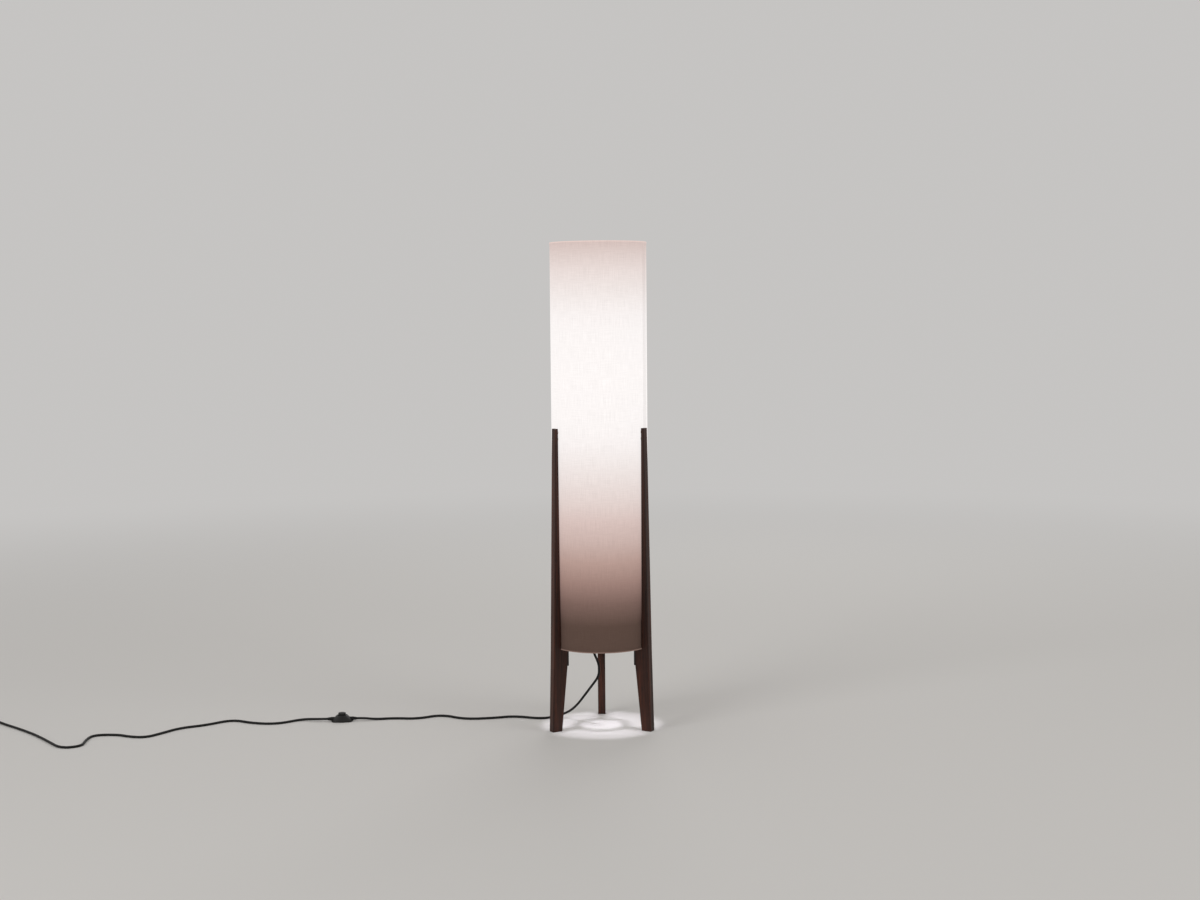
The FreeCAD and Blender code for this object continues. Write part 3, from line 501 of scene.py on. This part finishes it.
def turned(name, section, turns, place, material, rise=None):
    """A ring-shaped body: a closed (radius, height) section carried round its axis, then placed."""
    shape = bmesh.new()
    rings = []
    for turn in turns:
        outs = [radius + (rise(turn, radius, height) if rise else 0) for radius, height in section]
        rings.append([
            shape.verts.new((out * math.cos(turn), out * math.sin(turn), height))
            for out, (radius, height) in zip(outs, section)
        ])
    for ring, following in zip(rings, rings[1:] + rings[:1]):
        for k in range(len(section)):
            shape.faces.new((ring[k - 1], ring[k], following[k], following[k - 1]))
    bmesh.ops.remove_doubles(shape, verts=shape.verts, dist=join_gap)
    bmesh.ops.recalc_face_normals(shape, faces=shape.faces)
    mesh = bpy.data.meshes.new(name)
    shape.to_mesh(mesh)
    shape.free()
    mesh.transform(place)
    mesh.shade_smooth()
    mesh.set_sharp_from_angle(angle=smooth_turn)
    mesh.materials.append(material)
    body = bpy.data.objects.new(name, mesh)
    bpy.context.collection.objects.link(body)
    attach(body, "lamp")
    return body


# The painted glow, by distance above or below the bulb in mm, from beside the bulb to the shade's foot.
# The base colour is a dark greige, painted shade: the off-white cloth is made as dim as its lower
# part looks when lit only from inside.
linen = linen_with_painted_glow("laminated_linen", "#6a554c", [
    (0, "#f3f2f2"), (110, "#f1f0f0"), (155, "#eeecec"), (200, "#e7e3e2"),
    (300, "#d6cac7"), (345, "#cbb9b5"), (395, "#bba7a2"), (445, "#a68d86"),
    (495, "#886f69"), (545, "#5a4743"), (600, "#0f0807"), (660, "#000000"),
])

lap_edge = lap_angle + lap_width / skin_radius / 2
step_turn = 0.02 * MM / skin_radius     # the step at the lap's edge is all but square


def lap_rise(turn, radius, height):
    """How far the lapped end stands out: a sharp step at its edge, then back down to the tube."""
    if radius < skin_radius - cloth_thickness / 2:
        return 0
    past = (lap_edge - turn) * skin_radius
    return cloth_thickness * max(0.0, min(1.0, (lap_width - past) / lap_ramp))


cloth_sides = 360
cloth_rows = 50
cloth_turns = [lap_edge - 2 * math.pi * k / cloth_sides for k in range(cloth_sides)]
cloth_turns.append(lap_edge - 2 * math.pi + step_turn)
cloth_section = [
    (skin_radius, wall_low.z + (wall_high.z - wall_low.z) * row / cloth_rows)
    for row in range(cloth_rows + 1)
]
cloth_section += [(skin_radius - cloth_thickness, end) for end in (wall_high.z, wall_low.z)]
on_axis = Matrix.Translation(lamp_axis)
cloth = turned("linen_cloth", cloth_section, cloth_turns, on_axis, linen, lap_rise)
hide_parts("shade_skin")

hem_height = 6 * MM
fold_radius = 1.3 * MM
fold_steps = 5
wire_clearance = 0.05 * MM
hem_low, hem_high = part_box("shade_hem_top")
ring_low, ring_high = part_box("shade_ring_top")
hem_radius = (hem_high.x - hem_low.x) / 2
ring_wire = (ring_high.z - ring_low.z) / 2
ring_radius = (ring_high.x - ring_low.x) / 2 - ring_wire
hem_inner_radius = ring_radius - ring_wire - cloth_thickness - wire_clearance


def binding_section(edge, inward):
    """Section of the binding: up the outside, round the rim over the wire, and up the inside."""
    section = []
    for inset in (0.0, cloth_thickness):
        fold = fold_radius - inset
        outer, inner = hem_radius - fold_radius, hem_inner_radius + fold_radius
        half = [(hem_radius - inset, edge + inward * hem_height)]
        for middle, first in ((outer, 0), (inner, math.pi / 2)):
            for step in range(fold_steps + 1):
                turn = first + math.pi / 2 * step / fold_steps
                height = edge + inward * (fold_radius - fold * math.sin(turn))
                half.append((middle + fold * math.cos(turn), height))
        half.append((hem_inner_radius + inset, edge + inward * hem_height))
        section += half if inset == 0.0 else half[::-1]
    return section


def full_circle(sides):
    """The angles of evenly spaced sections round a full circle."""
    return [2 * math.pi * side / sides for side in range(sides)]


for end, edge, inward in (("bottom", shade_low, 1), ("top", shade_high, -1)):
    rim = binding_section(edge, inward)
    binding = turned("linen_binding_" + end, rim, full_circle(cloth_sides), on_axis, linen)
    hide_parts("shade_hem_" + end)


# --- Shade: film and wire rings ---------------------------------------------------------------
# A white styrene film, under a millimetre thick, that stiffens the cloth, with a ring of enamelled
# steel wire at each end. From inside the film is the brightest thing but the bulb: its glow is
# painted light, emission that fades with distance from the bulb.

styrene, styrene_surface = new_material("styrene_film", {
    "Base Color": "#cfcac6", "Roughness": 0.4, "IOR": 1.59, "Emission Strength": 1.0,
})
styrene_place = add_node(styrene, "ShaderNodeTexCoord").outputs["Object"]
styrene_height = add_node(styrene, "ShaderNodeSeparateXYZ", {"Vector": styrene_place}).outputs["Z"]
set_inputs(styrene_surface, {"Emission Color": painted_glow_by_distance(styrene, styrene_height, [
    (0, "#918e8c"), (200, "#868281"), (395, "#6c6665"), (600, "#403a38"),
])})
coat(styrene, "shade_liner")

# Enamelled wire: smooth and milky, a touch thin here and there.
white_enamel = mottled(
    "white_enamel", colours=("#dcd8d2", "#e9e6e1"), patch=6 * MM, roughness=(0.30, 0.38),
    bump=0.02 * MM, surface_values={"IOR": 1.5},
)
coat(white_enamel, "shade_ring_bottom", "shade_ring_top")


# --- Lampholder -----------------------------------------------------------------------------
# A black thermoplastic E27 lampholder, screwed on a threaded nipple that passes the upper frame.

thermoplastic = mottled(
    "moulded_thermoplastic", colours=("#13120e", "#1b1a16"), patch=0.9 * MM, roughness=(0.38, 0.50),
    bump=0.03 * MM, surface_values={"IOR": 1.58, "Specular IOR Level": 0.4},
)
coat(thermoplastic, "holder_cap", "holder_body")

# Steatite: an unglazed white ceramic, dry and finely pitted.
steatite = mottled(
    "steatite", colours=("#dcd7cb", "#ebe7de"), patch=1.0 * MM, roughness=(0.45, 0.60),
    bump=0.05 * MM, surface_values={"IOR": 1.55},
)
coat(steatite, "socket_insert")

# Nickel-washed brass: a pale yellow metal, drawn and pressed.
brass = mottled(
    "nickel_brass", colours=("#a8946a", "#c2b088"), patch=1.8 * MM, roughness=(0.24, 0.38),
    bump=0.01 * MM, surface_values={"Metallic": 1.0},
)
coat(brass, "socket_shell", "socket_contact", "bulb_contact", "plug_blades", "switch_terminals")


# --- Bulb -----------------------------------------------------------------------------------
# A ball lamp of opal glass on an aluminium screw cap, switched on.

bulb_colour = "#fff6ee"
opal = new_material("opal_glass", {
    "Base Color": "#f4f1ec", "Roughness": 0.15, "IOR": 1.52,
    "Emission Color": bulb_colour, "Emission Strength": 0.9,
})[0]
coat(opal, "bulb_glass")

# The cap is rolled from aluminium sheet with a round screw thread.
aluminium = rolled_thread("rolled_aluminium", pitch=3.6 * MM, bump=0.8 * MM, surface_values={
    "Base Color": "#c9cbcd", "Metallic": 1.0, "Roughness": 0.3,
})
coat(aluminium, "bulb_cap")

# Vitrite: the black glass between the cap and its contact.
vitrite = mottled(
    "vitrite", colours=("#0b0a0c", "#141316"), patch=2 * MM, roughness=(0.15, 0.25),
    bump=0.02 * MM, surface_values={"IOR": 1.6},
)
coat(vitrite, "bulb_insulator")


# --- Lead from the lampholder to the foot switch ----------------------------------------------
# A round black PVC lead, 6 mm thick. It hangs free inside the shade, swings out under it between
# the legs and lies on the floor to the switch, as stiff and uneven as a lead from its box.

pvc = mottled(
    "pvc_sheath", colours=("#0c0b0a", "#141312"), patch=2.2 * MM, roughness=(0.48, 0.62),
    bump=0.06 * MM, surface_values={"IOR": 1.53, "Specular IOR Level": 0.25},
)
coat(pvc, "holder_lead", "switch_leads", "plug_body")

lead_radius = 3 * MM
lead_level = 3 * MM


def lead_along(name, places, stands_for):
    """A round lead on one smooth line that is drawn towards the places, in order."""
    curve = bpy.data.curves.new(name, "CURVE")
    curve.dimensions = "3D"
    curve.bevel_depth = lead_radius
    curve.bevel_resolution = 5
    curve.resolution_u = 8
    curve.use_fill_caps = True
    line = curve.splines.new("NURBS")
    line.points.add(len(places) - 1)
    for point, place in zip(line.points, places):
        point.co = (*place, 1)
    line.order_u = 3
    line.use_endpoint_u = True
    curve.materials.append(pvc)
    lead = bpy.data.objects.new(name, curve)
    bpy.context.collection.objects.link(lead)
    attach(lead, "lamp")
    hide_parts(*stands_for)
    return lead


switch_low, switch_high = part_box("switch_reliefs")
switch_centre = (switch_low + switch_high) / 2
switch_turn = math.radians(4)
switch_way = Vector((math.cos(switch_turn), math.sin(switch_turn), 0))
switch_reach = 36 * MM
switch_right = switch_centre + switch_way * switch_reach
switch_left = switch_centre - switch_way * switch_reach
straight_in, straight_out = 20 * MM, 25 * MM     # where the lead meets the switch
gland_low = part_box("cord_gland")[0].z
gland_exit = lamp_axis + Vector((0, 0, gland_low))

lamp_lead = lead_along("lamp_lead", [
    gland_exit,
    (0, -0.0124, 0.668),
    (0.006, -0.011, 0.590),
    (0.014, -0.009, 0.510),
    (0.017, -0.008, 0.430),
    (0.010, -0.008, 0.352),
    (-0.008, -0.009, 0.280),
    (-0.030, -0.012, 0.205),
    (0.003, -0.009, 0.135),
    (-0.034, 0.010, 0.082),
    (-0.072, 0.052, 0.024),
    (-0.112, 0.076, lead_level),
    (-0.152, 0.046, lead_level),
    (-0.222, 0.080, lead_level),
    (-0.275, 0.060, lead_level),
    (-0.350, 0.050, lead_level),
    (-0.410, 0.103, lead_level),
    (-0.470, 0.058, lead_level),
    (-0.525, 0.068, lead_level),
    (-0.575, 0.058, lead_level),
    switch_right + switch_way * straight_in,
    switch_right,
], ["cord_lamp"])


# --- Lead from the foot switch to the plug ----------------------------------------------------
# The same lead runs on over the floor in loose bends; past the picture's edge the rest is put
# away in a neat round coil under a strap, and ends in the plug.

coil_pitch = 6.6 * MM
coil_inner_radius = 25.75 * MM
coil_turns_per_layer = 2.5
coil_centre = Vector((-1.605, 0.043, 0))
coil_low_level = 3.85 * MM
coil_lead_in = 43 * MM
coil_tail = 18 * MM
coil_start = coil_centre + Vector((
    6 * MM, coil_inner_radius + coil_pitch * coil_turns_per_layer, coil_low_level,
))
points_per_turn = 24


def coil_place(turn):
    """Place in the coil after a number of turns: inwards on the floor, outwards on top."""
    # The climb takes a quarter turn each side of the innermost point, and rounds the reversal.
    past = 4 * (turn - coil_turns_per_layer)
    climb = max(-1.0, min(1.0, past))
    turns_out = abs(past) / 4 if abs(past) > 1 else (1 + past ** 2) / 8
    radius = coil_inner_radius + coil_pitch * turns_out
    level = coil_low_level + coil_pitch * (1 + math.sin(math.pi * climb / 2)) / 2
    angle = math.radians(90) + 2 * math.pi * turn
    return coil_centre + Vector((radius * math.cos(angle), radius * math.sin(angle), level))


coil_points = [
    coil_place(step / points_per_turn)
    for step in range(int(2 * coil_turns_per_layer * points_per_turn) + 1)
]
mains_lead = lead_along("mains_lead", [
    switch_left,
    switch_left - switch_way * straight_out,
    (-0.762, 0.066, lead_level),
    (-0.817, 0.014, lead_level),
    (-0.880, 0.024, lead_level),
    (-0.940, 0.066, lead_level),
    (-0.995, 0.008, lead_level),
    (-1.055, -0.022, lead_level),
    (-1.088, -0.078, lead_level),
    (-1.116, -0.117, lead_level),
    (-1.158, -0.108, lead_level),
    (-1.190, -0.086, lead_level),
    (-1.254, -0.088, lead_level),
    (-1.254, -0.150, lead_level),
    (-1.248, -0.199, lead_level),
    (-1.293, -0.219, lead_level),
    (-1.343, -0.150, lead_level),
    (-1.398, -0.078, lead_level),
    (-1.458, -0.014, lead_level),
    (-1.512, 0.038, lead_level),
    coil_start + Vector((coil_lead_in, 0, 0)),
    coil_start,
    *coil_points,
    coil_points[-1] + Vector((-coil_tail, 0, 0)),
], ["cord_mains", "cord_coil"])

# The strap is woven nylon tape; its picks are 0.7 mm apart.
pick_pitch = 0.7 * MM
webbing, webbing_surface = new_material("nylon_webbing", {
    "Base Color": "#151413", "Roughness": 0.8, "IOR": 1.53, "Specular IOR Level": 0.3,
    "Sheen Weight": 0.2,
})
webbing_place = add_node(webbing, "ShaderNodeTexCoord").outputs["Object"]
picks = [add_node(webbing, "ShaderNodeTexWave", {
    "Vector": webbing_place, "Scale": wave_scale(pick_pitch),
}, bands_direction=direction).outputs["Fac"] for direction in ("X", "DIAGONAL")]
woven = add_node(webbing, "ShaderNodeMath", {
    0: picks[0], 1: picks[1],
}, operation="MULTIPLY").outputs[0]
set_inputs(webbing_surface, {"Normal": add_node(webbing, "ShaderNodeBump", {
    "Height": woven, "Distance": 0.2 * MM, "Strength": 0.8,
}).outputs["Normal"]})
coat(webbing, "cord_tie")


# --- Foot switch --------------------------------------------------------------------------------
# A low moulded ABS foot switch in line on the lead, with a round push button on a steel spring.

# The mould's wall was spark eroded, so the ABS has a fine matt grain.
abs_plastic = mottled(
    "moulded_abs", colours=("#11100f", "#1a1917"), patch=0.7 * MM, roughness=(0.42, 0.56),
    bump=0.05 * MM, surface_values={"IOR": 1.54, "Specular IOR Level": 0.35},
)
coat(abs_plastic, "switch_cover", "switch_base", "switch_button", "switch_block")

# The strain reliefs are soft PVC, moulded on the lead.
relief_length = 20 * MM
relief_root, relief_root_radius = 28 * MM, 4.8 * MM     # from the middle of the switch
relief_tip, relief_tip_radius = switch_reach, 3.9 * MM
relief_bore = lead_radius + 0.05 * MM
relief_sides = 40
relief_grooves = 3
groove_depth = 0.7 * MM
groove_shape = ((0.50, 0), (0.56, groove_depth), (0.94, groove_depth), (1.0, 0))     # place, depth


def relief_section():
    """Section of a strain relief: plain inside the cover, then a cone whose grooves let it bend."""
    start = relief_tip - relief_length
    section = [
        (relief_bore, start), (relief_root_radius, start), (relief_root_radius, relief_root),
    ]
    cone = relief_tip - relief_root
    spacing = cone / (relief_grooves + 0.5)
    for groove in range(relief_grooves):
        for place, depth in groove_shape:
            along = spacing * (groove + place)
            radius = relief_root_radius + (relief_tip_radius - relief_root_radius) * along / cone
            section.append((radius - depth, relief_root + along))
    return section + [(relief_tip_radius, relief_tip), (relief_bore, relief_tip)]


for side, heading in (("right", switch_turn), ("left", switch_turn + math.pi)):
    lying = Matrix.Rotation(heading, 4, "Z") @ Matrix.Rotation(math.pi / 2, 4, "Y")
    in_cover = Matrix.Translation(switch_centre) @ lying
    relief = turned(
        "switch_relief_" + side, relief_section(), full_circle(relief_sides), in_cover, pvc,
    )
    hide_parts("switch_reliefs")

# Two screws hold the cover from below, at opposite corners of the base.
cover_head_radius, cover_head_height = 2.8 * MM, 1.3 * MM
cover_screw_along, cover_screw_aside = 12 * MM, 9.5 * MM
screws_low, screws_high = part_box("switch_screws")
switch_aside = Vector((-switch_way.y, switch_way.x, 0))
under_heads = []
for sign in (1, -1):
    corner = sign * (switch_way * cover_screw_along + switch_aside * cover_screw_aside)
    middle = (screws_low + screws_high) / 2 + corner
    under_heads.append((Vector((middle.x, middle.y, screws_low.z)), Vector((0, 0, 1))))
cover_screws = recessed_screws(
    "switch_cover_screws", "switch_screws", under_heads, cover_head_radius, cover_head_height,
)

# The return spring stands on the block and is pressed together as the button goes down.
spring_wire = mottled(
    "spring_steel", colours=("#9c9ea1", "#b5b7ba"), patch=1 * MM, roughness=(0.20, 0.32),
    bump=0.005 * MM, surface_values={"Metallic": 1.0},
)
spring = bpy.data.objects.new("button_spring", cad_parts["switch_spring"].data.copy())
bpy.context.collection.objects.link(spring)
spring.data.materials.clear()
spring.data.materials.append(spring_wire)
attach(spring, "lamp")
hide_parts("switch_spring")
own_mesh(spring)


# --- Floor and light ------------------------------------------------------------------------
# A plain pale floor that runs into a plain pale backdrop, soft light from three large lamps and all
# round, and the lamp's own light: the bulb, and what the film throws down on the floor.

sky_colour = "#f8f6f4"
sky_seen, sky_light = 0.60, 0.52      # its strength as the backdrop, and as light on the lamp
floor_near, floor_far = 1.4, 6.0      # metres out, between which the floor fades to the backdrop
floor_reach = 60.0

floor_mesh = bpy.data.meshes.new("floor")
floor_corners = [
    (x * floor_reach, y * floor_reach, 0) for x, y in ((-1, -1), (1, -1), (1, 1), (-1, 1))
]
floor_mesh.from_pydata(floor_corners, [], [(0, 1, 2, 3)])
floor = bpy.data.objects.new("floor", floor_mesh)
bpy.context.collection.objects.link(floor)
floor_paint, floor_surface = new_material("floor_paint", {"Base Color": "#d8d6d3", "Roughness": 0.9})
floor_mesh.materials.append(floor_paint)
floor_place = add_node(floor_paint, "ShaderNodeTexCoord").outputs["Object"]
floor_distance = add_node(floor_paint, "ShaderNodeVectorMath", {
    0: floor_place,
}, operation="LENGTH").outputs["Value"]
far_share = add_node(floor_paint, "ShaderNodeMapRange", {
    "Value": floor_distance, "From Min": floor_near, "From Max": floor_far,
}, interpolation_type="SMOOTHSTEP").outputs["Result"]
far_floor = add_node(floor_paint, "ShaderNodeEmission", {"Color": sky_colour, "Strength": sky_seen})
floor_mix = add_node(floor_paint, "ShaderNodeMixShader", {
    0: far_share, 1: floor_surface.outputs["BSDF"], 2: far_floor.outputs["Emission"],
})
set_inputs(floor_paint.node_tree.nodes["Material Output"], {"Surface": floor_mix.outputs["Shader"]})


def add_light(name, kind, place, aim, energy, **settings):
    """A lamp at a place, turned to what it lights."""
    light = bpy.data.lights.new(name, kind)
    light.energy = energy
    for option, value in settings.items():
        setattr(light, option, value)
    lamp = bpy.data.objects.new(name, light)
    bpy.context.collection.objects.link(lamp)
    lamp.location = place
    lamp.rotation_mode = "QUATERNION"
    lamp.rotation_quaternion = (aim - lamp.location).to_track_quat("-Z", "Y")


lamp_middle = lamp_axis + Vector((0, 0, 600 * MM))
studio_lights = {     # place and size in metres, and watts
    "key_light": ((-3.2, -3.4, 3.4), 2.4, 60),
    "fill_light": ((3.6, -2.4, 2.6), 2.8, 32),
    "back_light": ((0.8, 3.8, 3.2), 2.4, 32),
}
for name, (place, size, watts) in studio_lights.items():
    add_light(name, "AREA", Vector(place), lamp_middle, watts, size=size)

# The bulb's light starts just inside its glass, which lets it pass.
bulb_wall = 2 * MM
bulb_middle = lamp_axis + Vector((0, 0, glow_height))
bulb_inside = (bulb_high.x - bulb_low.x) / 2 - bulb_wall
add_light("bulb_light", "POINT", bulb_middle, lamp_axis, 0.12, shadow_soft_size=bulb_inside,
          color=linear(bulb_colour)[:3])
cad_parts["bulb_glass"].visible_shadow = False

# The pool of light on the floor, from just under the upper frame.
pool_gap, pool_size, pool_spread, pool_colour = 4 * MM, 90 * MM, math.radians(34), "#f7f3ff"
below_frame = lamp_axis + Vector((0, 0, gland_low - pool_gap))
add_light("light_on_floor", "AREA", below_frame, lamp_axis, 0.16, shape="DISK", size=pool_size,
          spread=pool_spread, color=linear(pool_colour)[:3])

world = bpy.data.worlds.new("studio")
bpy.context.scene.world = world
world.use_nodes = True
sky = world.node_tree.nodes["Background"]
ray = add_node(world, "ShaderNodeLightPath").outputs
seen = add_node(world, "ShaderNodeMath", {
    0: ray["Is Camera Ray"], 1: ray["Is Glossy Ray"],
}, operation="MAXIMUM").outputs[0]
strength = add_node(world, "ShaderNodeMapRange", {
    "Value": seen, "To Min": sky_light, "To Max": sky_seen,
}).outputs["Result"]
set_inputs(sky, {"Color": sky_colour, "Strength": strength})

bpy.context.scene.view_settings.view_transform = "Standard"
